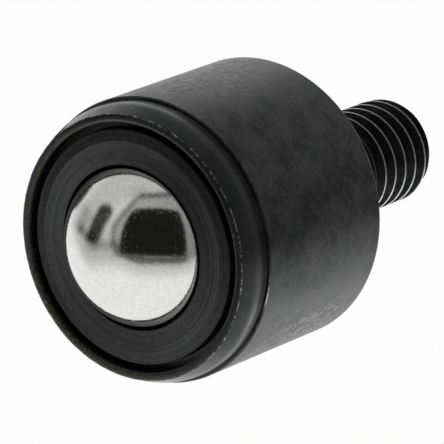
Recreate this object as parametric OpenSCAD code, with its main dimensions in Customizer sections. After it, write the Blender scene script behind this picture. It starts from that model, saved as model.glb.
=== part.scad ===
// Ball transfer unit with a threaded fixing stud.
// A large load ball rolls in any direction on a bed of small support balls in a hardened
// cup. A turned cap ring keeps the balls in, and the housing's thin mouth is rolled
// inward over the cap ring's flange.
// The origin is the centre of the seating face. The ball faces +Z, the stud points to -Z.

/* [Housing] */
// Outside diameter of the housing
body_d = 13; // [12.6:0.1:20]
// Height from the seating face up to the step below the lip
body_h = 8.5; // [7.6:0.1:14]
// Width of the flat step between the housing and its lip
step_w = 0.15; // [0.1:0.05:0.3]
// Broken edge round the seating face
seat_chamfer = 0.15; // [0.05:0.05:0.5]
// Broken edge at the step
step_chamfer = 0.05; // [0.02:0.01:0.1]

/* [Rolled lip] */
// Height of the rolled lip above the step
lip_h = 1.5; // [1.3:0.1:2.5]
// Thickness of the lip's wall
lip_wall = 0.38; // [0.25:0.01:0.45]
// How far the lip's top is rolled inward
lip_roll = 0.32; // [0.1:0.01:0.4]
// Depth of the relief groove at the foot of the lip
relief_depth = 0.08; // [0.03:0.01:0.15]
// Width of the relief groove
relief_w = 0.12; // [0.06:0.02:0.3]
// Radius of the lip's crowned top
lip_crown = 0.4; // [0.3:0.05:2]
// Corner radius on the inner edge of the lip
lip_round = 0.1; // [0.05:0.01:0.15]

/* [Stud] */
// Outside diameter of the stud's thread
stud_d = 4.9; // [3:0.1:8]
// Length of the stud below the seating face
stud_l = 10.4; // [5:0.1:30]
// Chamfer on the stud's end
stud_chamfer = 0.5; // [0.2:0.1:0.8]

/* [Balls] */
// Diameter of the load ball
load_ball_d = 8; // [6.4:0.1:8.2]
// Height of the load ball above the lip
ball_proud = 2.25; // [1.4:0.05:2.6]
// Diameter of each support ball
support_ball_d = 1.5; // [1:0.1:1.6]
// Radial gap between the support balls and what they roll on
running_gap = 0.015; // [0.005:0.005:0.03]
// Smallest gap between two support balls
bed_gap = 0.01; // [0.005:0.005:0.05]

/* [Race cup] */
// Thickness of the cup below the lowest point of its race
cup_floor = 0.8; // [0.4:0.1:1.5]
// Radial fit of the cup and the cap ring in the housing's bore
seat_fit = 0.02; // [0.01:0.01:0.05]
// Chamfer on the cup's lower edge
cup_chamfer = 0.3; // [0.1:0.1:0.5]

/* [Cap ring] */
// Gap between the load ball and the throat of the cap ring
throat_gap = 0.14; // [0.08:0.02:0.24]
// Width of the open groove between the cap ring and the lip
groove_w = 0.33; // [0.21:0.02:0.49]
// Depth of that groove below the lip's top
groove_depth = 0.8; // [0.4:0.1:1]
// Width of the sloping rim around the cap ring's flat top
rim_w = 0.52; // [0.3:0.02:0.8]
// Drop of the sloping rim
rim_drop = 0.13; // [0.05:0.02:0.41]

/* [Quality] */
// Facets round a full circle in the preview
facets = 96; // [48:8:180]

/* [Hidden] */
$fn = facets;
body_r = body_d / 2;
stud_r = stud_d / 2;
load_r = load_ball_d / 2;
support_r = support_ball_d / 2;
cut = 1; // how far a cutting shape runs past the face that it cuts

// Heights above the seating face
mouth_z = body_h + lip_h;
ball_z = mouth_z + ball_proud - load_r;
race_r = load_r + support_ball_d + 2 * running_gap;
bore_floor_z = ball_z - race_r - cup_floor;
flange_z = mouth_z - groove_depth;

// Radii of the lip, its bore and what seats in that bore
lip_r = body_r - step_w;
bore_r = lip_r - lip_wall;
seat_r = bore_r - seat_fit;
lip_bend_z = ball_z + (flange_z - ball_z) * 0.6;
mouth_r = bore_r - lip_roll;
boss_r = mouth_r - groove_w;
throat_r = load_r + throat_gap;

// The lip's top is a shallow crown between its outer edge and its inner one
crown_r = mouth_r + lip_wall / 2;
crown_z = mouth_z - lip_crown;
lip_edge_z = crown_z + sqrt(pow(lip_crown, 2) - pow(lip_wall / 2, 2));

// The rounding of the inner edge runs smoothly into that crown
round_r = mouth_r + lip_round;
round_z = crown_z + sqrt(pow(lip_crown - lip_round, 2) - pow(crown_r - round_r, 2));

// The lip's outside is one arc, upright at its foot and lip_roll further in at its edge
relief_top_z = body_h + relief_w;
lip_arc_h = lip_edge_z - relief_top_z;
lip_arc_r = (lip_arc_h * lip_arc_h + lip_roll * lip_roll) / (2 * lip_roll);

// The bed: rings of support balls on a sphere, spaced so that six fit round the lowest
bed_r = load_r + running_gap + support_r;
ball_space = support_r + bed_gap / 2;
ring_step = asin(2 * ball_space / bed_r);
bed_limit = acos((support_r + running_gap) / bed_r);
last_ring = floor(bed_limit / ring_step);
function ring_angle(k) = k * ring_step;
function ring_count(k) = k == 0 ? 1 : floor(180 / asin(ball_space / (bed_r * sin(ring_angle(k)))));
function ball_name(k, i) = str("support_ball_", k, "_", i);
SUPPORT_BALLS = [for (k = [0:last_ring]) for (i = [1:ring_count(k)]) [k, i]];

// Half section of the housing's outside: stud, seating face, wall, step and relief groove
module housing_outline() {
    polygon([
        [0, -stud_l],
        [stud_r - stud_chamfer, -stud_l],
        [stud_r, -stud_l + stud_chamfer],
        [stud_r, 0],
        [body_r - seat_chamfer, 0],
        [body_r, seat_chamfer],
        [body_r, body_h - step_chamfer],
        [body_r - step_chamfer, body_h],
        [lip_r - relief_depth, body_h],
        [lip_r - relief_depth, relief_top_z],
        [0, relief_top_z]
    ]);
    lip_outline();
}

// The lip's outside, an arc whose centre is level with the lip's foot, under its crowned top
module lip_outline() {
    difference() {
        intersection() {
            translate([lip_r - lip_arc_r, relief_top_z]) circle(r = lip_arc_r);
            translate([0, relief_top_z]) square([lip_r, lip_h]);
        }
        over_crown();
    }
}

// What lies over the crown. It starts half way down, where the crown is wider than the lip
module over_crown() {
    difference() {
        translate([0, (crown_z + lip_edge_z) / 2]) square([body_r, lip_crown + cut]);
        translate([crown_r, crown_z]) circle(r = lip_crown);
    }
}

// Half section of the bore: straight up to the bend, then closing in to the mouth
module bore_outline() {
    polygon([
        [0, bore_floor_z],
        [bore_r, bore_floor_z],
        [bore_r, lip_bend_z],
        [mouth_r, round_z],
        [mouth_r, mouth_z + cut],
        [0, mouth_z + cut]
    ]);
    // rounds the inner edge of the mouth, as far as the line from the crown's centre
    difference() {
        polygon([
            [mouth_r - cut, round_z],
            [round_r, round_z],
            [round_r + 2 * (round_r - crown_r), round_z + 2 * (round_z - crown_z)],
            [mouth_r - cut, mouth_z + cut]
        ]);
        translate([round_r, round_z]) circle(r = lip_round);
    }
}

// Turned in one piece with its stud
module housing() {
    color([0.16, 0.16, 0.17])
    rotate_extrude()
    difference() {
        housing_outline();
        bore_outline();
    }
}

// Hardened cup: a plain turned blank with a hemispherical race
module race_cup() {
    color([0.55, 0.56, 0.58])
    rotate_extrude()
    difference() {
        polygon([
            [0, bore_floor_z],
            [seat_r - cup_chamfer, bore_floor_z],
            [seat_r, bore_floor_z + cup_chamfer],
            [seat_r, ball_z],
            [0, ball_z]
        ]);
        translate([0, ball_z]) circle(r = race_r);
    }
}

// Turned ring: a flange under the lip, a raised boss and a spherical throat round the ball
module cap_ring() {
    flange_lean = (bore_r - mouth_r) * (flange_z - lip_bend_z) / (round_z - lip_bend_z);
    color([0.2, 0.2, 0.21])
    rotate_extrude()
    difference() {
        polygon([
            [0, ball_z],
            [seat_r, ball_z],
            [seat_r, lip_bend_z],
            [seat_r - flange_lean, flange_z],
            [boss_r, flange_z],
            [boss_r, mouth_z - rim_drop],
            [boss_r - rim_w, mouth_z],
            [0, mouth_z]
        ]);
        translate([0, ball_z]) circle(r = throat_r);
    }
}

module load_ball() {
    color([0.82, 0.82, 0.8])
    translate([0, 0, ball_z])
    sphere(r = load_r);
}

// Ball i of ring k. Every other ring is turned half a space, so that the rings nest
module support_ball(k, i) {
    turn = 360 * (i - 1 + (k % 2) / 2) / ring_count(k);
    color([0.75, 0.75, 0.77])
    translate([0, 0, ball_z])
    rotate([0, 180 - ring_angle(k), turn])
    translate([0, 0, bed_r])
    sphere(r = support_r, $fn = facets / 2);
}

housing();
race_cup();
cap_ring();
load_ball();
for (b = SUPPORT_BALLS)
    support_ball(b[0], b[1]);
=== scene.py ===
"""Ball transfer unit with a threaded stud: pieces, finishes, floor, studio light and camera.

The pieces that show are turned shapes worked out on grids. Sizes are in millimetres in the
tables below and become metres when a mesh is made. The race cup and the support balls, which
are inside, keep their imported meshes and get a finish.
"""
import math
from collections import namedtuple

import bmesh
import bpy
import numpy as np
from mathutils import Matrix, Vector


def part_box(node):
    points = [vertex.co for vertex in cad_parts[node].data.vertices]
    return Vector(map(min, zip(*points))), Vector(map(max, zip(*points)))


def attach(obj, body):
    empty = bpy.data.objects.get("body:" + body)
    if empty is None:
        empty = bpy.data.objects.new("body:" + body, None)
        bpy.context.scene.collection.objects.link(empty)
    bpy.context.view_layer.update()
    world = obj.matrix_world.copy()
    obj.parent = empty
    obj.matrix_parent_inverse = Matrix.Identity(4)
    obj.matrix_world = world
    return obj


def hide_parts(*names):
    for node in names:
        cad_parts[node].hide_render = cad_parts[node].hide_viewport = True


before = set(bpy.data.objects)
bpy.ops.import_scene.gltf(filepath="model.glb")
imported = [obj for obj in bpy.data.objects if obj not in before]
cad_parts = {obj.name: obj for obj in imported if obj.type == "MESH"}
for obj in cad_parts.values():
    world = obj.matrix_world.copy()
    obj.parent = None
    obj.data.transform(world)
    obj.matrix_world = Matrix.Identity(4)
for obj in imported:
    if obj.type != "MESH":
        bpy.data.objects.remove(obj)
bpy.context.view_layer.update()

MM = 0.001
AROUND = 192                        # columns of points round a turned piece
MERGE = 2e-7                        # points closer than this, in metres, are one
SHARP = math.radians(35)            # edges that turn by more than this stay sharp
FULL_TURN = 2 * np.pi

# Sizes
BALL_R = 4.0
STUD_R = 2.45
STUD_CHAMFER = 0.5
SEAT_CHAMFER = 0.15
STEP_CHAMFER = 0.05
LIP_SET_BACK = 0.15                 # the lip's outside, in from the body's
LIP_WALL = 0.38
LIP_ROLL = 0.32                     # how far the lip leans in by its top
LIP_CROWN = 0.4                     # radius of the lip's rounded top
LIP_ROUND = 0.1                     # radius of its inner edge
FLANGE_DEPTH = 0.8                  # the cap's flange, below the mouth
FLANGE_GAP = 0.02
RIM_W = 0.52                        # width of the cap's sloping rim
RIM_DROP = 0.13
CAP_DROP = 0.05                     # the cap's flat, below the mouth
GROOVE = 0.33                       # between the lip and the cap's rim
THROAT_GAP = 0.117                  # between the load ball and the cap
SUPPORT_BED = 1.53                  # a support ball and its two running gaps
RACE_FLOOR = 0.8
PITCH = 0.8
THREAD_DEPTH = 0.49
ROOT = 0.125                        # half width of the thread's hollow root, in pitches
ROOT_EDGE = 0.882                   # share of the depth reached where the hollow starts
CREST = 0.456                       # where the flat crest starts, in pitches from the root
PLAIN_NECK = 0.3                    # plain stud under the seat
RUNOUT = 1.2                        # depth below the seat where the thread is full

# Heights above the seating face, and radii
housing_low, housing_high = (np.array(corner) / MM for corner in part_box("housing"))
STUD_END = float(housing_low[2])
MOUTH = float(housing_high[2])
BODY_R = round(float(housing_high[0]), 2)
BALL_Z = float(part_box("load_ball")[1][2]) / MM - BALL_R
STEP = 8.5
LIP_R = BODY_R - LIP_SET_BACK
RELIEF_R = LIP_R - 0.04
RELIEF_TOP = STEP + 0.1
FOOT_R = LIP_R + 0.01
WAIST_R = LIP_R - 0.03
WAIST_LOW = STEP + 0.36
WAIST_TOP = STEP + 0.68
BORE_R = LIP_R - LIP_WALL
MOUTH_R = BORE_R - LIP_ROLL
FLANGE = MOUTH - FLANGE_DEPTH
FLANGE_R = BORE_R - FLANGE_GAP
BEND = BALL_Z + (FLANGE - BALL_Z) * 0.6
BORE_FLOOR = BALL_Z - BALL_R - SUPPORT_BED - RACE_FLOOR
BOSS_R = MOUTH_R - GROOVE
CAP_TOP = MOUTH - CAP_DROP
THROAT_R = BALL_R + THROAT_GAP

# The lip's crown: its centre, its outer edge, and the centre of the inner edge's rounding
CROWN_R = MOUTH_R + LIP_WALL / 2
CROWN_Z = MOUTH - LIP_CROWN
LIP_EDGE_R = LIP_R - LIP_ROLL
LIP_EDGE_Z = CROWN_Z + math.sqrt(LIP_CROWN ** 2 - (LIP_WALL / 2) ** 2)
ROUND_R = MOUTH_R + LIP_ROUND
ROUND_Z = CROWN_Z + math.sqrt((LIP_CROWN - LIP_ROUND) ** 2 - (CROWN_R - ROUND_R) ** 2)


# ---------------------------------------------------------------- shapes

def softened(rows, steps=6):
    """A line through corners given as (radius, height, cut). Each corner is cut back by its cut
    along both sides, and the two cut ends A and C are bridged by a curve that bends towards the
    corner B: (1-t) squared of A, 2t(1-t) of B and t squared of C, for t from 0 to 1."""
    rows = np.array(rows, float)
    b, cut = rows[:, :2], rows[:, 2:]
    before = np.vstack([b[:1], b[:-1]]) - b
    after = np.vstack([b[1:], b[-1:]]) - b
    a = b + cut * before / np.maximum(np.linalg.norm(before, axis=1), 1e-9)[:, None]
    c = b + cut * after / np.maximum(np.linalg.norm(after, axis=1), 1e-9)[:, None]
    t = np.linspace(0, 1, steps)[None, :, None]
    line = (1 - t) ** 2 * a[:, None] + 2 * t * (1 - t) * b[:, None] + t ** 2 * c[:, None]
    line = line.reshape(-1, 2)
    apart = np.linalg.norm(np.diff(line, axis=0), axis=1) > 1e-6
    return line[np.r_[True, apart]]


def arc(centre, radius, start, end, steps):
    """Part of a circle: the centre plus the radius times the cosine and the sine of an angle
    that goes evenly from start to end, in radians."""
    t = np.linspace(start, end, steps)
    return np.c_[centre[0] + radius * np.cos(t), centre[1] + radius * np.sin(t)]


def turned(line):
    """A half section carried round Z. At each angle, x is the radius times the cosine, y is the
    radius times the sine, and the height stays."""
    a = np.arange(AROUND) * (FULL_TURN / AROUND)
    r, z = line[:, :1], line[:, 1:]
    return np.stack([r * np.cos(a), r * np.sin(a), z + 0 * a], axis=2)


def grid_faces(rows, columns, shift):
    """Quads of a grid that closes round. The last column joins the first one, shift rows up,
    which is how a helix meets itself."""
    j, i = np.meshgrid(np.arange(rows - 1), np.arange(columns), indexing="ij")
    up = np.where(i == columns - 1, shift, 0)
    k = (i + 1) % columns
    quads = np.stack([j * columns + i, (j + up) * columns + k,
                      (j + 1 + up) * columns + k, (j + 1) * columns + i], axis=2)
    return quads[(j + 1 + up) < rows]


def make_piece(name, grids):
    """One closed mesh from grids of points in millimetres, each with its seam's shift. Points
    that fall together are merged, so seams and poles close, and normals are turned outwards."""
    points, faces, count = [], [], 0
    for grid, shift in grids:
        rows, columns = grid.shape[:2]
        points.append(grid.reshape(-1, 3))
        faces.append(grid_faces(rows, columns, shift) + count)
        count += rows * columns
    mesh = bpy.data.meshes.new(name)
    mesh.from_pydata(np.vstack(points) * MM, [], np.vstack(faces))
    work = bmesh.new()
    work.from_mesh(mesh)
    bmesh.ops.remove_doubles(work, verts=work.verts, dist=MERGE)
    bmesh.ops.dissolve_degenerate(work, edges=work.edges, dist=MERGE / 2)
    bmesh.ops.recalc_face_normals(work, faces=work.faces)
    still_open = sum(1 for edge in work.edges if not edge.is_manifold)
    print(name, "open edges", still_open, "faces", len(work.faces))
    work.to_mesh(mesh)
    work.free()
    mesh.shade_smooth()
    mesh.set_sharp_from_angle(angle=SHARP)
    piece = bpy.data.objects.new(name, mesh)
    bpy.context.scene.collection.objects.link(piece)
    return piece


def uneven_round(angle, seed=5, fewest=9, most_waves=90, sines=40):
    """A closed uneven line round the part: a sum of sines of whole numbers of waves a turn,
    each with its own seeded phase, divided by its highest value."""
    draw = np.random.default_rng(seed)
    waves = draw.integers(fewest, most_waves, sines)
    phase = draw.uniform(0, FULL_TURN, sines)
    value = np.sin(waves[:, None] * angle[None, :] + phase[:, None]).sum(axis=0)
    return value / np.abs(value).max()


def step_between(x, low, high):
    """0 below low, 1 above high, and three t squared less two t cubed on the way, where t is
    the share of the way."""
    t = np.clip((x - low) / (high - low), 0, 1)
    return t * t * (3 - 2 * t)


def thread_depth(phase):
    """Depth of the thread at a phase from 0 at the root to 0.5 at the crest: in the root a
    hollow that rises with the phase squared, then a straight flank at 30 degrees to the radius,
    and nothing on the narrow flat crest."""
    p = np.abs((phase + 0.5) % 1 - 0.5)
    flank = ROOT_EDGE * (CREST - p) / (CREST - ROOT)
    hollow = ROOT_EDGE + (1 - ROOT_EDGE) * (1 - (p / ROOT) ** 2)
    depth = np.where(p > CREST, 0, np.where(p > ROOT, flank, hollow))
    return depth * THREAD_DEPTH


def threaded_stud():
    """The stud. Height rises by one pitch a turn, a right-hand helix, and is clamped at both
    ends. Radius is the crest's less the thread's depth, which fades out below the plain neck,
    and is held under a 45 degree cone at the end. Also gives the rows in one turn."""
    half = np.array([0, 0.05, 0.09, ROOT, 0.2, 0.28, 0.36, CREST - 0.015, CREST, CREST + 0.015])
    phases = np.sort(np.r_[half, 1 - half[:0:-1]])
    turns = math.ceil(-STUD_END / PITCH) + 2
    base = STUD_END - PITCH + PITCH * (np.arange(turns)[:, None] + phases[None, :]).ravel()
    a = np.arange(AROUND) / AROUND
    helix = base[:, None] + PITCH * a[None, :]
    z = np.clip(helix, STUD_END, 0)
    depth = thread_depth(((base - STUD_END) / PITCH) % 1)[:, None]
    depth = depth * step_between(-z, PLAIN_NECK, RUNOUT)
    end_cone = STUD_R - STUD_CHAMFER + (z - STUD_END)
    r = np.minimum(STUD_R - depth, end_cone)
    grid = np.stack([r * np.cos(FULL_TURN * a), r * np.sin(FULL_TURN * a), z], axis=2)
    return grid, len(phases)


def housing_line():
    """Half section of the housing: straight lines with softened corners from the stud's foot
    over the seat, the wall and the step, a shallow hollow up to the lip's outer edge, a circle
    over the crown, a smaller circle round its inner edge, and straight lines down the bore."""
    edge = math.asin((LIP_WALL / 2) / LIP_CROWN)
    inner_end = math.atan2(ROUND_Z - CROWN_Z, ROUND_R - CROWN_R)
    lower = softened([
        (STUD_R, 0, 0),
        (BODY_R - SEAT_CHAMFER, 0, 0.03),
        (BODY_R, SEAT_CHAMFER, 0.03),
        (BODY_R, STEP - STEP_CHAMFER, 0.015),
        (BODY_R - STEP_CHAMFER, STEP, 0.015),
        (RELIEF_R, STEP, 0.02),
        (RELIEF_R, RELIEF_TOP - 0.02, 0.02),
        (FOOT_R, RELIEF_TOP, 0)])
    hollow = softened([
        (FOOT_R, RELIEF_TOP, 0),
        (WAIST_R + 0.012, WAIST_LOW, 0.26),
        (WAIST_R, WAIST_TOP, 0.14),
        (LIP_EDGE_R + 0.001, LIP_EDGE_Z - 0.003, 0)], 14)
    crown = arc((CROWN_R, CROWN_Z), LIP_CROWN, math.pi / 2 - edge + 0.08, inner_end, 14)
    rubbed = softened([(*hollow[-1], 0), (LIP_EDGE_R, LIP_EDGE_Z, 0.03), (*crown[0], 0)])
    rounding = arc((ROUND_R, ROUND_Z), LIP_ROUND, inner_end, math.pi, 9)
    inner = softened([
        (MOUTH_R, ROUND_Z, 0),
        (BORE_R, BEND, 0.05),
        (BORE_R, BORE_FLOOR, 0.05),
        (0, BORE_FLOOR, 0)])
    return np.vstack([lower[:-1], hollow[:-1], rubbed, crown[1:], rounding[1:-1], inner])


def worn_lip(grid, dent=0.02):
    """Knocks along the lip: points near its top move towards the axis by the dent's depth times
    an uneven line round the part, where that line is below nothing."""
    z = grid[:, :1, 2]
    radius = np.hypot(grid[:, :1, 0], grid[:, :1, 1])
    near = (step_between(z, MOUTH - 0.4, MOUTH - 0.03)
            * step_between(radius, MOUTH_R, MOUTH_R + 0.3))
    angle = np.arange(AROUND) * (FULL_TURN / AROUND)
    move = near * np.minimum(uneven_round(angle), 0) * dent
    grid[:, :, 0] += move * np.cos(angle)
    grid[:, :, 1] += move * np.sin(angle)
    return grid


def cap_line():
    """Closed half section of the cap ring: a circle round the ball for the throat, then straight
    lines with softened corners over the flange, whose edge leans as the lip does, the boss, the
    sloping rim and the flat."""
    lean = LIP_ROLL * (FLANGE - BEND) / (ROUND_Z - BEND)
    top = math.asin((CAP_TOP - BALL_Z) / THROAT_R)
    throat = arc((0, BALL_Z), THROAT_R, top, 0, 30)
    outer = softened([
        (*throat[-1], 0),
        (FLANGE_R, BALL_Z, 0.04),
        (FLANGE_R, BEND, 0.03),
        (FLANGE_R - lean, FLANGE, 0.04),
        (BOSS_R, FLANGE, 0.04),
        (BOSS_R, MOUTH - RIM_DROP, 0.07),
        (BOSS_R - RIM_W, CAP_TOP, 0.03),
        (*throat[0], 0)])
    return np.vstack([throat[:-1], outer])


def ball_line():
    """Half circle from pole to pole round the ball's centre, which turned about Z is the ball."""
    return arc((0, BALL_Z), BALL_R, -math.pi / 2, math.pi / 2, 129)


# ---------------------------------------------------------------- nodes

Spot = namedtuple("Spot", "place radius height")


def put(tree, kind, inputs=None, **settings):
    """Adds one node. Inputs are given by socket name or number, as a value or another's output."""
    made = tree.nodes.new(kind)
    for name, value in settings.items():
        setattr(made, name, value)
    for socket, value in (inputs or {}).items():
        if isinstance(value, bpy.types.NodeSocket):
            tree.links.new(value, made.inputs[socket])
        else:
            made.inputs[socket].default_value = value
    return made


def maths(tree, operation, a, b=0.0, c=0.0):
    return put(tree, "ShaderNodeMath", {0: a, 1: b, 2: c}, operation=operation).outputs[0]


def chained(tree, operation, values):
    """The values taken together two by two, from the first on."""
    found = values[0]
    for value in values[1:]:
        found = maths(tree, operation, found, value)
    return found


def times(tree, *values):
    return chained(tree, "MULTIPLY", values)


def most(tree, *values):
    return chained(tree, "MAXIMUM", values)


def added(tree, *values):
    return chained(tree, "ADD", values)


def weighted(tree, *pairs):
    """Sum of the values, each times its weight."""
    value, weight = pairs[-1]
    total = times(tree, value, weight)
    for value, weight in reversed(pairs[:-1]):
        total = maths(tree, "MULTIPLY_ADD", value, weight, total)
    return total


def factor_in(tree, share, factor):
    """1 where the share is 0, and the factor where it is 1."""
    return maths(tree, "MULTIPLY_ADD", share, factor - 1, 1.0)


def vectors(tree, operation, a, b=(0, 0, 0)):
    return put(tree, "ShaderNodeVectorMath", {0: a, 1: b}, operation=operation).outputs["Vector"]


def measure(tree, operation, a, b=(0, 0, 0)):
    """A number from one or two vectors: LENGTH, DISTANCE or DOT_PRODUCT."""
    return put(tree, "ShaderNodeVectorMath", {0: a, 1: b}, operation=operation).outputs["Value"]


def scaled(tree, vector, factor):
    made = put(tree, "ShaderNodeVectorMath", {0: vector, 3: factor}, operation="SCALE")
    return made.outputs["Vector"]


def combined(tree, x=0.0, y=0.0, z=0.0):
    return put(tree, "ShaderNodeCombineXYZ", {0: x, 1: y, 2: z}).outputs[0]


def between(tree, value, low, high, out_low=0.0, out_high=1.0):
    """Smooth step of a value from low to high."""
    return put(tree, "ShaderNodeMapRange",
               {"Value": value, "From Min": low, "From Max": high, "To Min": out_low,
                "To Max": out_high}, interpolation_type="SMOOTHSTEP").outputs[0]


def spread(tree, noise, reach):
    """Noise drawn out to 0 and 1 at this reach to either side of its middle."""
    return between(tree, noise, 0.5 - reach, 0.5 + reach)


def blend(tree, share, a, b):
    return put(tree, "ShaderNodeMix", {0: share, 2: a, 3: b}).outputs[0]


def blend_colour(tree, share, a, b, how="MIX"):
    return put(tree, "ShaderNodeMix", {0: share, 6: a, 7: b}, data_type="RGBA",
               blend_type=how).outputs[2]


def grey(level, tint=(1, 1, 1)):
    return (level * tint[0], level * tint[1], level * tint[2], 1.0)


def cloud(tree, place, scale, detail, rough, stretch=None):
    """Smooth noise with about scale features a millimetre, more of them along stretched axes."""
    if stretch is not None:
        place = vectors(tree, "MULTIPLY", place, stretch)
    return put(tree, "ShaderNodeTexNoise",
               {"Vector": place, "Scale": scale, "Detail": detail, "Roughness": rough},
               normalize=True).outputs[0]


def place_in_mm(tree):
    """The place on the piece in millimetres."""
    return scaled(tree, put(tree, "ShaderNodeTexCoord").outputs["Object"], 1 / MM)


def spot_on_piece(tree):
    """The place on the piece in millimetres, with its radius and its height."""
    place = place_in_mm(tree)
    radius = measure(tree, "LENGTH", vectors(tree, "MULTIPLY", place, (1, 1, 0)))
    height = put(tree, "ShaderNodeSeparateXYZ", {0: place}).outputs["Z"]
    return Spot(place, radius, height)


def side_of(tree, spot, angle):
    """Cosine of the angle round the part between a spot and the given side, in degrees."""
    a = math.radians(angle)
    along = measure(tree, "DOT_PRODUCT", spot.place, (math.cos(a), math.sin(a), 0))
    return maths(tree, "DIVIDE", along, maths(tree, "MAXIMUM", spot.radius, 0.01))


def towards(tree, spot, angle, low, high, out_low=0.0, out_high=1.0):
    """Smooth step round the part, by the cosine of the angle to the given side."""
    return between(tree, side_of(tree, spot, angle), low, high, out_low, out_high)


def new_finish(name):
    finish = bpy.data.materials.new(name)
    finish.use_nodes = True
    tree = finish.node_tree
    tree.nodes.clear()
    shader = put(tree, "ShaderNodeBsdfPrincipled")
    put(tree, "ShaderNodeOutputMaterial", {"Surface": shader.outputs[0]})
    return finish, tree, shader


def wire(tree, shader, **sockets):
    """Links or sets the shader's sockets, whose names are written with _ for a space."""
    for name, value in sockets.items():
        socket = shader.inputs[name.replace("_", " ")]
        if isinstance(value, bpy.types.NodeSocket):
            tree.links.new(value, socket)
        else:
            socket.default_value = value


def bumped(tree, *layers):
    """Bump of layers (height, depth), each on top of the one before. A height of 1 is as high
    as the depth, in millimetres."""
    normal = None
    for height, depth in layers:
        inputs = {"Height": height, "Distance": depth * MM, "Strength": 1.0}
        if normal is not None:
            inputs["Normal"] = normal
        normal = put(tree, "ShaderNodeBump", inputs).outputs[0]
    return normal


# ---------------------------------------------------------------- finishes

# Rubbed ovals on the body's wall: side in degrees, height of the middle, lean of the marks in
# degrees, half sizes round and along, stretch of the noise, share marked, softness of the
# marks, and how much they show as steel, as gloss and as relief
Rubbed = namedtuple("Rubbed", "side height lean half stretch share soft steel gloss relief")
RUBBED_OVALS = [
    Rubbed(side=-20, height=5.0, lean=50, half=(2.7, 7.2), stretch=(2.2, 4.8, 0.9),
           share=0.62, soft=0.3, steel=0.28, gloss=1.3, relief=1.2),
    Rubbed(side=-40, height=4.0, lean=40, half=(1.9, 3.8), stretch=(1.6, 5.0, 0.8),
           share=0.5, soft=0.2, steel=0.07, gloss=0.5, relief=0.0),
    Rubbed(side=-157, height=4.0, lean=78, half=(2.2, 5.4), stretch=(1.9, 4.4, 0.9),
           share=0.5, soft=0.14, steel=0.24, gloss=1.2, relief=1.0)]

# Circles that are worn, and one ring of painted shade: where, width of the line, scale of the
# # noise that breaks it up and the two levels of it between which the mark fades in, and how much
# it shows
WearAndShadeRing = namedtuple("WearAndShadeRing", "radius height width scale low high amount")
LIP_EDGE_WEAR = WearAndShadeRing(LIP_EDGE_R, LIP_EDGE_Z, 0.032, 4.6, 0.45, 0.64, 0.8)
CROWN_WEAR = WearAndShadeRing(CROWN_R - 0.02, MOUTH, 0.05, 5.0, 0.62, 0.72, 0.5)
STEP_WEAR = WearAndShadeRing(BODY_R - 0.02, STEP - 0.02, 0.03, 0.9, 0.4, 0.6, 1.0)
SEAT_WEAR = WearAndShadeRing(BODY_R, SEAT_CHAMFER, 0.04, 0.7, 0.36, 0.56, 0.4)
# A ring of painted shade along the crown, which takes gloss away there
CROWN_PAINTED_SHADE = WearAndShadeRing(CROWN_R + 0.02, MOUTH, 0.085, 4.0, 0.3, 0.45, 1.0)

# Ramps of radius and height: from the first number to the second, the value goes smoothly from
# the third to the fourth, or from 0 to 1. Ramps by side have the side first, in degrees round
# from +X towards +Y, and go with the cosine of the angle to it
ON_LIP = (STEP + 0.02, STEP + 0.16)
ON_LIP_TOP = (MOUTH - 0.045, MOUTH - 0.015)
ON_STUD = (-0.3, -0.05, 1.0, 0.0)
ON_WALL = (BODY_R - 0.03, BODY_R - 0.01)
ON_CRESTS = (STUD_R - 0.03, STUD_R - 0.008)
IN_BORE = (MOUTH_R + 0.02, MOUTH_R + 0.06, 1.0, 0.0)
ABOVE_SEAT = (0.1, 0.3)
UP_THE_BORE = (MOUTH - 0.55, MOUTH - 0.25)
UNDER_THE_TOP = (MOUTH - 0.35, MOUTH - 0.08)
GRIT_BY_SIDE = (85, -0.2, 0.6)
STEP_WEAR_BY_SIDE = (-127, 0.988, 0.998)
# Bare steel on the thread's crests is partly wear and partly a painted highlight: weaker towards
# the side given first, and fading towards the neck
CREST_HIGHLIGHT_BY_SIDE = (-75, 0.2, 1.0, 1.0, 0.34)
CREST_WEAR_AND_HIGHLIGHT_BY_HEIGHT = (-6.25, -5.8, 1.0, 0.12)
# Painted light on the lip's gloss by side: painted shade towards the given sides, painted
# highlight away from them
LIP_PAINTED_LIGHT_BY_SIDE = (-90, 0.2, 0.75, 1.33, 0.87)
LIP_TOP_PAINTED_LIGHT_BY_SIDE = (-120, 0.2, 0.7, 1.4, 0.9)
# The crown's ring of painted shade, stronger towards this side
CROWN_SHADE_BY_SIDE = (-60, 0.1, 0.6)
# Painted light on the lip's gloss by height: painted shade in the crease at its foot, a painted
# highlight band at its waist, and less gloss higher up
LIP_PAINTED_LIGHT_BY_HEIGHT = [(RELIEF_TOP + 0.16, RELIEF_TOP + 0.51, 0.2, 1.25),
                       (STEP + 0.66, STEP + 0.92, 1.0, 0.64),
                       (STEP + 0.8, STEP + 1.4, 1.06, 0.76)]
STUD_GLOSS = 0.25
GRIT_GLOSS = 0.55
LIP_ROUGHNESS = 0.21
STEEL_ROUGHNESS = 0.32

OXIDE_DARK = grey(0.006)
OXIDE_PALE = grey(0.026)
OXIDE_BLUE = grey(1, (0.93, 0.97, 1.1))
OXIDE_BROWN = grey(1, (1.08, 1.03, 0.88))
OXIDE_SHEEN = grey(1, (0.97, 1.0, 1.015))
BORE_LOW = grey(0.11, (1.05, 1.0, 0.85))
BORE_HIGH = grey(0.045, (1.1, 1.0, 0.8))
GRIT_OLIVE = (0.036, 0.035, 0.024)
WALL_STEEL = grey(0.6, (1, 0.99, 0.97))
STUD_STEEL = grey(0.88)
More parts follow.
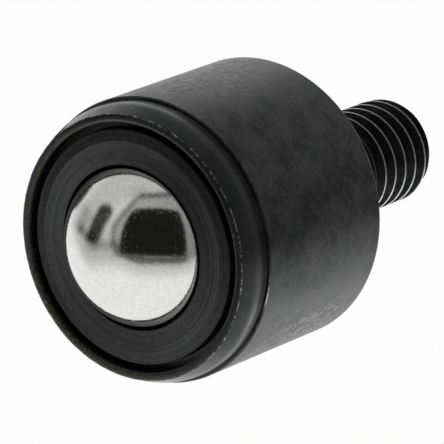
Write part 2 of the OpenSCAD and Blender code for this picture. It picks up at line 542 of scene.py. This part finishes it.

# The cap: rings that the tool left, as radius, width and how much they show, then its ramps,
# # some of which paint shade by side, the side that its painted highlight fan faces, and its
# colours
CAP_RINGS = [(4.76, 0.045, 1.0), (4.6, 0.06, 0.5), (4.4, 0.05, 0.35), (3.9, 0.06, 0.35),
             (4.16, 0.03, 0.2)]
IN_THROAT = (3.6, 3.74, 1.0, 0.0)
ON_RIM = (BOSS_R - RIM_W - 0.02, BOSS_R - RIM_W + 0.06)
# Painted shade in the throat towards this side, painted light away from it
THROAT_SHADE_BY_SIDE = (10, -0.3, 0.6)
# Painted shade on the sloping rim, stronger towards this side; then painted shade across the cap
# towards the next side, and the side the painted highlight fan faces
RIM_SHADE_BY_SIDE = (62, 0.0, 0.9, 0.2, 0.62)
CAP_SHADE_BY_SIDE = (-100, 0.4, 1.0, 1.0, 0.66)
HIGHLIGHT_FAN_SIDE = 33
CAP_DARK = grey(0.008)
CAP_PALE = grey(0.02)
CAP_RING = grey(0.05)
CAP_SHEEN = grey(1, (0.985, 1.0, 1.035))
# The throat's two colours, both paler than the flat: painted light and painted shade
THROAT_PAINTED_LIGHT = grey(0.08)
THROAT_PAINTED_SHADE = grey(0.045)

BALL_TINT = (1, 1.005, 0.965)


def from_spot(tree, place, side, height, lean=0.0):
    """Millimetres from the middle of an oval on the wall: round the part and along it, turned by
    lean, and how far out the place is towards the oval's side."""
    a, b = math.radians(side), math.radians(lean)
    round_it = np.array([-math.sin(a), math.cos(a), 0])
    along_it = np.array([0, 0, 1.0])
    out_of_it = np.array([math.cos(a), math.sin(a), 0])
    first = math.cos(b) * round_it + math.sin(b) * along_it
    second = -math.sin(b) * round_it + math.cos(b) * along_it
    here = vectors(tree, "SUBTRACT", place, (0, 0, height))
    return combined(tree, *(measure(tree, "DOT_PRODUCT", here, tuple(axis))
                            for axis in (first, second, out_of_it)))


def scuffs(tree, spot, oval):
    """Rubbed marks in one oval of the wall: stretched wavy noise, over a level that leaves about
    the oval's share of its middle marked. Gives the marks, the noise and the oval itself."""
    upright = from_spot(tree, spot.place, oval.side, oval.height)
    inverse = (1 / oval.half[0], 1 / oval.half[1], 0)
    out = measure(tree, "LENGTH", vectors(tree, "MULTIPLY", upright, inverse))
    facing = put(tree, "ShaderNodeSeparateXYZ", {0: upright}).outputs["Z"]
    area = times(tree, between(tree, out, 0.2, 1.1, 1.0, 0.0),
                 between(tree, facing, 1.0, 3.0), between(tree, spot.radius, *ON_WALL))
    leaning = from_spot(tree, spot.place, oval.side, oval.height, oval.lean)
    drift = times(tree, cloud(tree, leaning, 1.6, 2, 0.5), 1.1)
    wavy = vectors(tree, "ADD", leaning, combined(tree, 0.0, drift))
    noise = cloud(tree, wavy, 1.0, 4, 0.66, oval.stretch)
    level = maths(tree, "MULTIPLY_ADD", area, -(0.14 + 0.16 * oval.share), 0.68)
    marks = between(tree, maths(tree, "SUBTRACT", noise, level), 0.0, oval.soft)
    return times(tree, marks, between(tree, area, 0.0, 0.3)), noise, area


def wear_and_shade_ring(tree, spot, ring_mark):
    """Wear along a circle round the part, broken up by noise; also a ring of painted shade on the
    crown.
    """
    here = combined(tree, spot.radius, spot.height)
    gap = measure(tree, "DISTANCE", here, (ring_mark.radius, ring_mark.height, 0))
    ring = between(tree, gap, ring_mark.width * 0.5, ring_mark.width * 1.3, 1.0, 0.0)
    broken = between(tree, cloud(tree, spot.place, ring_mark.scale, 4, 0.65), ring_mark.low, ring_mark.high)
    return times(tree, ring, broken, ring_mark.amount)


def oxide_colour(tree, spot, tone, patches, grit):
    """Near black, bluer or browner in patches, paler down in the bore, and olive grit."""
    oxide = blend_colour(tree, tone, OXIDE_DARK, OXIDE_PALE)
    tint = blend_colour(tree, spread(tree, patches, 0.15), OXIDE_BLUE, OXIDE_BROWN)
    oxide = blend_colour(tree, 1.0, oxide, tint, "MULTIPLY")
    inside = times(tree, between(tree, spot.radius, *IN_BORE),
                   between(tree, spot.height, *ABOVE_SEAT))
    bore = blend_colour(tree, between(tree, spot.height, *UP_THE_BORE), BORE_LOW, BORE_HIGH)
    oxide = blend_colour(tree, inside, oxide, bore)
    specks = between(tree, cloud(tree, spot.place, 9.0, 4, 0.7), 0.38, 0.7, 0.4, 2.6)
    return blend_colour(tree, grit, oxide, scaled(tree, GRIT_OLIVE, specks))


def lip_grit_and_painted_light(tree, spot, on_lip, grit):
    """Factor on the rolled lip's gloss: by height, painted shade in the crease at its foot, a
    painted highlight band at its waist and less gloss higher up; by side and along its top,
    painted light and shade; and less gloss under grit.
    """
    painted_light_by_height = times(tree, *(between(tree, spot.height, *ramp) for ramp in LIP_PAINTED_LIGHT_BY_HEIGHT))
    by_side = towards(tree, spot, *LIP_PAINTED_LIGHT_BY_SIDE)
    on_top = between(tree, spot.height, *ON_LIP_TOP)
    top_by_side = towards(tree, spot, *LIP_TOP_PAINTED_LIGHT_BY_SIDE)
    lip = times(tree, painted_light_by_height, by_side, blend(tree, on_top, 1.0, top_by_side))
    return times(tree, blend(tree, on_lip, 1.0, lip), factor_in(tree, grit, GRIT_GLOSS))


def black_oxide():
    """Blackened turned steel: a thin dark glossy oxide, mottled, and smeared the way the tool
    went. It is rubbed to steel in ovals of the wall, on edges and on the thread's crests, where
    the steel is partly a painted highlight. Its gloss holds painted light on the lip and a ring
    of painted shade along the crown."""
    finish, tree, shader = new_finish("blackened_turned_steel")
    spot = spot_on_piece(tree)
    smears = cloud(tree, spot.place, 1.0, 4, 0.6, (1.4, 1.4, 3.6))
    mottle = cloud(tree, spot.place, 4.0, 5, 0.68)
    patches = cloud(tree, spot.place, 0.8, 5, 0.62)
    on_lip = between(tree, spot.height, *ON_LIP)
    on_stud = between(tree, spot.height, *ON_STUD)
    tone = weighted(tree, (spread(tree, mottle, 0.16), 0.34), (spread(tree, smears, 0.18), 0.12),
                    (spread(tree, patches, 0.2), 0.54))
    tone = blend(tree, times(tree, on_lip, 0.7), tone, 0.5)
    grit = times(tree, between(tree, spot.height, *UNDER_THE_TOP),
                 towards(tree, spot, *GRIT_BY_SIDE))

    ovals = [(oval, *scuffs(tree, spot, oval)) for oval in RUBBED_OVALS]
    on_step = times(tree, wear_and_shade_ring(tree, spot, STEP_WEAR),
                    towards(tree, spot, *STEP_WEAR_BY_SIDE))
    # Crests rubbed to bare steel: wear, and a painted highlight that is weaker on one side and
    # near the neck
    crest_wear_and_highlight = times(tree, between(tree, spot.radius, *ON_CRESTS), on_stud,
                   between(tree, mottle, 0.3, 0.55, 0.6, 1.0),
                   towards(tree, spot, *CREST_HIGHLIGHT_BY_SIDE),
                   between(tree, spot.height, *CREST_WEAR_AND_HIGHLIGHT_BY_HEIGHT))
    steel = most(tree, *(times(tree, marks, oval.steel) for oval, marks, _, _ in ovals),
                 *(wear_and_shade_ring(tree, spot, ring_mark) for ring_mark in (LIP_EDGE_WEAR, CROWN_WEAR, SEAT_WEAR)),
                 on_step, crest_wear_and_highlight)

    oxide = oxide_colour(tree, spot, tone, patches, grit)
    bare = blend_colour(tree, on_stud, WALL_STEEL, STUD_STEEL)
    colour = blend_colour(tree, steel, oxide, bare)
    satin = blend(tree, on_lip, between(tree, tone, 0.1, 0.9, 0.3, 0.42), LIP_ROUGHNESS)
    roughness = blend(tree, steel, satin, STEEL_ROUGHNESS)

    gloss = times(tree, between(tree, tone, 0.05, 0.95, 0.34, 0.8),
                  factor_in(tree, on_stud, STUD_GLOSS))
    for oval, _, noise, area in ovals:
        blotch = maths(tree, "SUBTRACT", between(tree, noise, 0.34, 0.62), 0.42)
        blotch = times(tree, blotch, area, oval.gloss)
        gloss = times(tree, gloss, added(tree, blotch, 1.0))
    # Painted shade: a ring along the crown takes gloss away, more towards one side
    crown_shade_side = towards(tree, spot, *CROWN_SHADE_BY_SIDE)
    crown_shade = times(tree, wear_and_shade_ring(tree, spot, CROWN_PAINTED_SHADE),
                 maths(tree, "MULTIPLY_ADD", crown_shade_side, 0.35, 0.35))
    # Painted light on the lip's gloss, then the crown's ring of painted shade
    gloss = times(tree, gloss, lip_grit_and_painted_light(tree, spot, on_lip, grit),
                  maths(tree, "SUBTRACT", 1.0, crown_shade))

    rubbed = weighted(tree, *((noise, times(tree, area, oval.relief))
                              for oval, _, noise, area in ovals if oval.relief))
    relief = bumped(tree, (patches, 0.012), (mottle, 0.006), (rubbed, 0.05))
    wire(tree, shader, Base_Color=colour, Roughness=roughness, Normal=relief, Metallic=steel,
         Specular_IOR_Level=gloss, Specular_Tint=OXIDE_SHEEN)
    return finish


def cap_colour(tree, spot, tone):
    """Near black, with the tool's brighter rings, and a paler throat with painted light on one
    side and painted shade towards the other.
    """
    oxide = blend_colour(tree, spread(tree, tone, 0.2), CAP_DARK, CAP_PALE)
    # Painted light and painted shade across the throat, by side
    throat = blend_colour(tree, towards(tree, spot, *THROAT_SHADE_BY_SIDE), THROAT_PAINTED_LIGHT, THROAT_PAINTED_SHADE)
    oxide = blend_colour(tree, between(tree, spot.radius, *IN_THROAT), oxide, throat)
    rings = []
    for radius, width, amount in CAP_RINGS:
        gap = maths(tree, "ABSOLUTE", maths(tree, "SUBTRACT", spot.radius, radius))
        ring = between(tree, gap, width * 0.3, width * 1.3, 1.0, 0.0)
        rings.append(times(tree, ring, amount))
    broken = between(tree, cloud(tree, spot.place, 0.8, 3, 0.6), 0.35, 0.65, 0.4, 1.0)
    return blend_colour(tree, times(tree, most(tree, *rings), broken), oxide, CAP_RING)


def cap_gloss_with_painted_light(tree, spot, tone):
    """Gloss of the faced cap, with painted light: a painted highlight fan across it, as turning
    rings give, painted shade towards one side, and painted shade on the sloping rim.
    """
    gloss = between(tree, tone, 0.35, 0.65, 0.36, 0.66)
    side = side_of(tree, spot, HIGHLIGHT_FAN_SIDE)
    # Painted highlight: a fan by angle round the cap
    fan = maths(tree, "MULTIPLY_ADD", times(tree, side, side), 0.58,
                maths(tree, "MULTIPLY_ADD", side, 0.1, 0.6))
    by_side = towards(tree, spot, *CAP_SHADE_BY_SIDE)
    # Painted shade on the sloping rim, more towards one side
    rim = times(tree, between(tree, spot.radius, *ON_RIM),
                towards(tree, spot, *RIM_SHADE_BY_SIDE))
    return times(tree, gloss, fan, by_side, maths(tree, "SUBTRACT", 1.0, rim))


def black_cap():
    """Blackened steel with the fine rings that the tool left as it faced the cap."""
    finish, tree, shader = new_finish("blackened_faced_steel")
    spot = spot_on_piece(tree)
    outwards = combined(tree, times(tree, spot.radius, 9.0))
    drift = vectors(tree, "MULTIPLY", spot.place, (0.12, 0.12, 0.12))
    rings = cloud(tree, vectors(tree, "ADD", outwards, drift), 1.0, 3, 0.6)
    mottle = cloud(tree, spot.place, 4.0, 4, 0.6)
    tone = weighted(tree, (mottle, 0.35), (rings, 0.65))
    wire(tree, shader, Base_Color=cap_colour(tree, spot, tone),
         Roughness=between(tree, tone, 0.25, 0.75, 0.28, 0.4),
         Normal=bumped(tree, (rings, 0.006), (mottle, 0.003)), Metallic=0.0,
         Specular_IOR_Level=cap_gloss_with_painted_light(tree, spot, tone), Specular_Tint=CAP_SHEEN)
    return finish


def polished_steel():
    """Polished ball: bright steel with a fine grain and a few tiny pits."""
    finish, tree, shader = new_finish("polished_ball_steel")
    place = place_in_mm(tree)
    grain = cloud(tree, place, 7.0, 4, 0.66)
    pits = between(tree, cloud(tree, place, 10.0, 2, 0.5), 0.63, 0.73)
    colour = blend_colour(tree, spread(tree, grain, 0.15), grey(0.71, BALL_TINT),
                          grey(0.81, BALL_TINT))
    wire(tree, shader, Base_Color=colour, Roughness=between(tree, grain, 0.2, 0.8, 0.06, 0.13),
         Normal=bumped(tree, (grain, 0.0014), (pits, 0.0018)), Metallic=1.0)
    return finish


def hardened_steel(name, level, rough):
    """Hardened bearing steel, ground and slightly greyed."""
    finish, tree, shader = new_finish(name)
    grain = cloud(tree, place_in_mm(tree), 6.0, 4, 0.6)
    colour = blend_colour(tree, spread(tree, grain, 0.2), grey(level * 0.9), grey(level * 1.1))
    wire(tree, shader, Base_Color=colour, Metallic=1.0, Normal=bumped(tree, (grain, 0.001)),
         Roughness=between(tree, grain, 0.2, 0.8, rough, rough + 0.1))
    return finish


# ---------------------------------------------------------------- camera

ELEVATION = math.radians(50.67)     # of the camera, above the seating face
ROLL = math.radians(-111.20)        # of the camera, about its own axis
SENSOR = 36
LENS = 419.8
DISTANCE = 228.1                    # from the middle of the step's plane
AIM_RIGHT = 3.135                   # how far the camera is moved across its view
AIM_UP = 0.807

BACK = np.array([0, -math.cos(ELEVATION), math.sin(ELEVATION)])
LEVEL_RIGHT = np.array([1.0, 0, 0])
LEVEL_UP = np.cross(BACK, LEVEL_RIGHT)
RIGHT = math.cos(ROLL) * LEVEL_RIGHT + math.sin(ROLL) * LEVEL_UP
UP = -math.sin(ROLL) * LEVEL_RIGHT + math.cos(ROLL) * LEVEL_UP


def make_camera():
    """A long lens that looks down on the mouth, turned about its own axis."""
    data = bpy.data.cameras.new("camera")
    data.sensor_width = SENSOR
    data.lens = LENS
    data.clip_start = 0.01
    data.clip_end = 20
    camera = bpy.data.objects.new("camera", data)
    bpy.context.scene.collection.objects.link(camera)
    stand = np.array([0, 0, STEP]) + AIM_RIGHT * RIGHT + AIM_UP * UP + DISTANCE * BACK
    turn = np.eye(4)
    turn[:3] = np.c_[RIGHT, UP, BACK, stand * MM]
    camera.matrix_world = Matrix(turn.tolist())
    bpy.context.scene.camera = camera


# ---------------------------------------------------------------- studio

# The soft tent, laid out on a polished ball in its middle: places are (across, along) on the
# ball, from -1 to 1, and a keep is the factor on the tent's level there
Bar = namedtuple("Bar", "start end width soft keep")
Glow = namedtuple("Glow", "centre radius soft keep")

HOOP_LEFT = -0.447                  # the hoop's upright part
HOOP_TURN = (-0.44, 0.148)          # a place on its sloping part
HOOP_SLOPE = (0.759, -0.651)        # across that part, inwards
HOOP_ROUND = 0.1                    # how softly the two parts meet
HOOP_KEEP = 0.5
HOOP_RIM = 0.09                     # how far outside the hoop the pale rim lies
HOOP_RIM_KEEP = 1.2
OUTER_WALL = (0.0, 0.5, 0.58, 0.36)
INNER_WALL = (-0.1, 0.6, 0.42, 0.26)
WALL_BARS = [Bar((-0.13, 0.474), (0.26, 0.492), 0.03, 0.03, 0.24),
             Bar((-0.22, 0.51), (-0.12, 0.54), 0.03, 0.05, 0.8),
             Bar((-0.43, -0.06), (-0.39, -0.14), 0.03, 0.05, 0.6)]

# The horizon is a sum of ramps across, from one height to another
HORIZON = [(-0.45, -0.12, -0.2, -0.287), (0.27, 0.37, 0.0, 0.025), (0.36, 0.55, 0.0, 0.12),
           (-0.92, -0.7, 0.27, 0.0)]
SKIRT_LEVEL = 0.11
FLOOR_BAR = Bar((-0.62, -0.06), (-0.42, -0.08), 0.05, 0.05, 0.6)

# The dark window's corners, clockwise, each with how far the side after it bulges out
WINDOW = [((-0.215, 0.328), 0.02), ((0.268, 0.312), 0.04), ((0.352, -0.185), 0.008),
          ((-0.372, -0.155), 0.054)]
WINDOW_ROUND = 0.05                 # how softly its sides meet
WINDOW_LEVEL = 0.012
STRIPE = ((-0.09, -0.198), (0.2, -0.204), 0.007, 0.007)
STRIPE_LEVEL = 0.21

OBLONG = [((-0.53, 0.305), (-0.6, 0.18), 0.08, 0.032),
          ((-0.6, 0.18), (-0.665, 0.03), 0.078, 0.036)]
OBLONG_KEEP = 0.08
SHADE_BARS = [Bar((-0.665, 0.03), (-0.665, -0.06), 0.06, 0.07, 0.5),
              Bar((-0.84, 0.16), (-0.81, 0.11), 0.04, 0.05, 0.3),
              Bar((-0.815, 0.11), (-0.72, 0.0), 0.03, 0.06, 0.4)]
GLOWS = [Glow((-0.86, 0.27), 0.24, 0.16, 0.55), Glow((0.69, -0.66), 0.3, 0.2, 1.55),
         Glow((0.705, -0.61), 0.17, 0.12, 1.42), Glow((0.1, 0.93), 0.17, 0.1, 1.5),
         Glow((0.03, 0.945), 0.18, 0.1, 1.24), Glow((0.47, 0.68), 0.17, 0.14, 1.12),
         Glow((0.63, -0.14), 0.2, 0.15, 0.72), Glow((0.62, 0.48), 0.34, 0.2, 1.38),
         Glow((0.8, 0.0), 0.2, 0.15, 0.75)]
CORNER_SLOPE = (-0.811, 0.585)      # the way out to the dark corner
CORNER_KEEP = 0.08

FLOOR_DROP = 25                     # below the stud's end
FLOOR_HALF = 3.0                    # metres
FLOOR_WHITE = 0.93
FLOOR_SHOWN = 0.975                 # share of plain white that the camera and gloss see


def studio_light():
    """Node group: how bright the soft tent is in a direction. A polished ball in the middle of
    the tent shows that direction at (across, along)."""
    tree = bpy.data.node_groups.new("studio_light", "ShaderNodeTree")
    tree.interface.new_socket("Direction", in_out="INPUT", socket_type="NodeSocketVector")
    tree.interface.new_socket("Level", in_out="OUTPUT", socket_type="NodeSocketFloat")
    direction = vectors(tree, "NORMALIZE", put(tree, "NodeGroupInput").outputs[0])
    half = vectors(tree, "NORMALIZE", vectors(tree, "ADD", direction, tuple(BACK)))
    across = measure(tree, "DOT_PRODUCT", half, tuple(RIGHT))
    along = measure(tree, "DOT_PRODUCT", half, tuple(UP))
    behind = measure(tree, "DOT_PRODUCT", direction, tuple(-BACK))
    spot = combined(tree, across, along, 1.0)

    def band(value, *ramps):
        """Ramps of one value, times each other."""
        return times(tree, *(between(tree, value, *ramp) for ramp in ramps))

    def disc(centre, radius):
        """Depth inside a circle: its radius less the distance from its centre."""
        gap = measure(tree, "DISTANCE", spot, (*centre, 1.0))
        return maths(tree, "SUBTRACT", radius, gap)

    def bulging(start, end, bulge):
        """Depth inside the circle through two corners, clockwise, that bulges out between them:
        its radius is half the side squared plus the bulge squared, over twice the bulge."""
        a, b = np.array(start), np.array(end)
        half_side = np.linalg.norm(b - a) / 2
        radius = (half_side ** 2 + bulge ** 2) / (2 * bulge)
        along_side = (b - a) / (2 * half_side)
        inward = np.array([along_side[1], -along_side[0]])
        return disc((a + b) / 2 + inward * (radius - bulge), radius)

    def bar(start, end, width, soft):
        """1 within width of the line from start to end."""
        a, b = np.array([*start, 1.0]), np.array([*end, 1.0])
        ba = b - a
        pa = vectors(tree, "SUBTRACT", spot, tuple(a))
        share = measure(tree, "DOT_PRODUCT", pa, tuple(ba / (ba @ ba)))
        share = put(tree, "ShaderNodeClamp", {0: share}).outputs[0]
        nearest = scaled(tree, tuple(ba), share)
        gap = measure(tree, "LENGTH", vectors(tree, "SUBTRACT", pa, nearest))
        return between(tree, gap, width - soft, width + soft, 1.0, 0.0)

    def shade(level, shape, keep):
        """The level times keep where the shape is."""
        return times(tree, level, factor_in(tree, shape, keep))

    def shade_bars(level, bars):
        for start, end, width, soft, keep in bars:
            level = shade(level, bar(start, end, width, soft), keep)
        return level

    def wall():
        """The tent's wall over the horizon: lighter outside the hoop and darker to the right,
        with a pale rim outside the hoop, the dark hoop itself and a few dark bars."""
        from_turn = vectors(tree, "SUBTRACT", spot, (*HOOP_TURN, 1.0))
        hoop = maths(tree, "SMOOTH_MIN", maths(tree, "ADD", across, -HOOP_LEFT),
                     measure(tree, "DOT_PRODUCT", from_turn, (*HOOP_SLOPE, 0)), HOOP_ROUND)
        under_hoop = times(tree, between(tree, hoop, -0.04, 0.03),
                           between(tree, along, 0.44, 0.5, 1.0, 0.0))
        under_hoop = most(tree, under_hoop, between(tree, across, 0.2, 0.4))
        level = blend(tree, under_hoop, between(tree, across, *OUTER_WALL),
                      between(tree, across, *INNER_WALL))
        beside_hoop = maths(tree, "ABSOLUTE", maths(tree, "ADD", hoop, HOOP_RIM))
        rim = times(tree, between(tree, beside_hoop, 0.02, 0.08, 1.0, 0.0),
                    band(along, (0.0, 0.2), (0.4, 0.47, 1.0, 0.0)),
                    between(tree, across, 0.1, 0.3, 1.0, 0.0))
        level = shade(level, rim, HOOP_RIM_KEEP)
        ring = times(tree, between(tree, maths(tree, "ABSOLUTE", hoop), 0.0, 0.055, 1.0, 0.0),
                     band(along, (-0.12, -0.02), (0.44, 0.5, 1.0, 0.0)),
                     between(tree, across, -0.1, 0.0, 1.0, 0.0))
        level = shade(level, ring, HOOP_KEEP)
        return shade_bars(level, WALL_BARS)

    # The bright floor under the horizon, and a dark skirt between it and the window
    horizon = added(tree, *(between(tree, across, *ramp) for ramp in HORIZON))
    rise = maths(tree, "SUBTRACT", along, horizon)
    level = blend(tree, between(tree, rise, -0.035, 0.06),
                  between(tree, rise, -0.22, 0.05, 1.0, 0.55), wall())
    skirt = times(tree, between(tree, rise, -0.01, 0.05),
                  between(tree, along, -0.12, -0.02, 1.0, 0.0),
                  band(across, (-0.46, -0.33), (0.33, 0.4, 1.0, 0.0)))
    level = blend(tree, skirt, level, SKIRT_LEVEL)
    level = shade_bars(level, [FLOOR_BAR])

    # The dark window with the thin stripe under it
    window = None
    for number, (corner, bulge) in enumerate(WINDOW):
        following = WINDOW[(number + 1) % len(WINDOW)][0]
        depth = bulging(corner, following, bulge)
        window = (depth if window is None
                  else maths(tree, "SMOOTH_MIN", window, depth, WINDOW_ROUND))
    level = blend(tree, between(tree, window, -0.018, 0.018), level, WINDOW_LEVEL)
    level = blend(tree, bar(*STRIPE), level, STRIPE_LEVEL)

    # The dark oblong beside the window, and soft shades and glows round the ball's edge
    level = shade(level, most(tree, *(bar(*part) for part in OBLONG)), OBLONG_KEEP)
    level = shade_bars(level, SHADE_BARS)
    for centre, radius, soft, keep in GLOWS:
        level = shade(level, between(tree, disc(centre, radius), 0.0, soft), keep)
    level = blend(tree, between(tree, behind, 0.2, 0.9), level, 1.0)
    outwards = measure(tree, "DOT_PRODUCT", spot, (*CORNER_SLOPE, 0))
    corner = times(tree, between(tree, outwards, 0.865, 0.89),
                   band(along, (0.25, 0.31), (0.54, 0.62, 1.0, 0.0)))
    level = shade(level, corner, CORNER_KEEP)
    put(tree, "NodeGroupOutput", {0: level})
    return tree


def lit_colour(tree, tent, direction, path):
    """White to the camera, and the tent's level to all else."""
    level = put(tree, "ShaderNodeGroup", node_tree=tent)
    tree.links.new(direction, level.inputs[0])
    return blend_colour(tree, path.outputs["Is Camera Ray"], level.outputs[0], grey(1.0))


def make_world(tent):
    """The world: the tent all round."""
    world = bpy.data.worlds.new("studio")
    bpy.context.scene.world = world
    world.use_nodes = True
    tree = world.node_tree
    tree.nodes.clear()
    direction = put(tree, "ShaderNodeTexCoord").outputs["Generated"]
    path = put(tree, "ShaderNodeLightPath")
    colour = lit_colour(tree, tent, direction, path)
    light = put(tree, "ShaderNodeBackground", {"Color": colour, "Strength": 1.0})
    put(tree, "ShaderNodeOutputWorld", {"Surface": light.outputs[0]})


def make_floor(tent):
    """A wide plain floor below the stud. It takes the part's soft shadow; what the camera and
    gloss see of it is mostly its own white."""
    z = (STUD_END - FLOOR_DROP) * MM
    signs = ((-1, -1), (1, -1), (1, 1), (-1, 1))
    corners = [(x * FLOOR_HALF, y * FLOOR_HALF, z) for x, y in signs]
    mesh = bpy.data.meshes.new("floor")
    mesh.from_pydata(corners, [], [(0, 1, 2, 3)])
    floor = bpy.data.objects.new("floor", mesh)
    bpy.context.scene.collection.objects.link(floor)
    material = bpy.data.materials.new("pale_floor")
    material.use_nodes = True
    tree = material.node_tree
    tree.nodes.clear()
    path = put(tree, "ShaderNodeLightPath")
    place = put(tree, "ShaderNodeTexCoord").outputs["Object"]
    colour = lit_colour(tree, tent, place, path)
    glow = put(tree, "ShaderNodeEmission", {"Color": colour, "Strength": 1.0})
    paint = put(tree, "ShaderNodeBsdfDiffuse", {"Color": grey(FLOOR_WHITE)})
    in_gloss = path.outputs["Is Glossy Ray"]
    seen = most(tree, path.outputs["Is Camera Ray"], in_gloss, path.outputs["Is Transmission Ray"])
    share = most(tree, times(tree, seen, FLOOR_SHOWN), in_gloss)
    both = put(tree, "ShaderNodeMixShader", {0: share, 1: paint.outputs[0], 2: glow.outputs[0]})
    put(tree, "ShaderNodeOutputMaterial", {"Surface": both.outputs[0]})
    mesh.materials.append(material)


# ---------------------------------------------------------------- the scene

stud_grid, rows_a_turn = threaded_stud()
stud_end = turned(np.array([[0, STUD_END], [STUD_R - STUD_CHAMFER, STUD_END]]))
wall_grid = worn_lip(turned(housing_line()))
housing = make_piece("housing_turned", [(stud_end, 0), (stud_grid, rows_a_turn), (wall_grid, 0)])
cap = make_piece("cap_ring_turned", [(turned(cap_line()), 0)])
ball = make_piece("load_ball_polished", [(turned(ball_line()), 0)])

for piece, node, body, slot, finish in [
        (housing, "housing", "housing", "black_oxide_steel", black_oxide()),
        (cap, "cap_ring", "housing", "black_oxide_cap", black_cap()),
        (ball, "load_ball", "load_ball", "polished_ball_steel", polished_steel())]:
    piece.data.materials.append(finish)
    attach(piece, body)
    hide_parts(node)

race_finish = hardened_steel("hardened_race_steel", 0.42, 0.25)
small_ball_finish = hardened_steel("small_ball_steel", 0.6, 0.12)
for name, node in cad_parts.items():
    if name == "race_cup" or name.startswith("support_ball"):
        node.data.materials.clear()
        node.data.materials.append(race_finish if name == "race_cup" else small_ball_finish)

make_camera()
tent = studio_light()
make_world(tent)
make_floor(tent)
bpy.context.scene.view_settings.view_transform = "Standard"
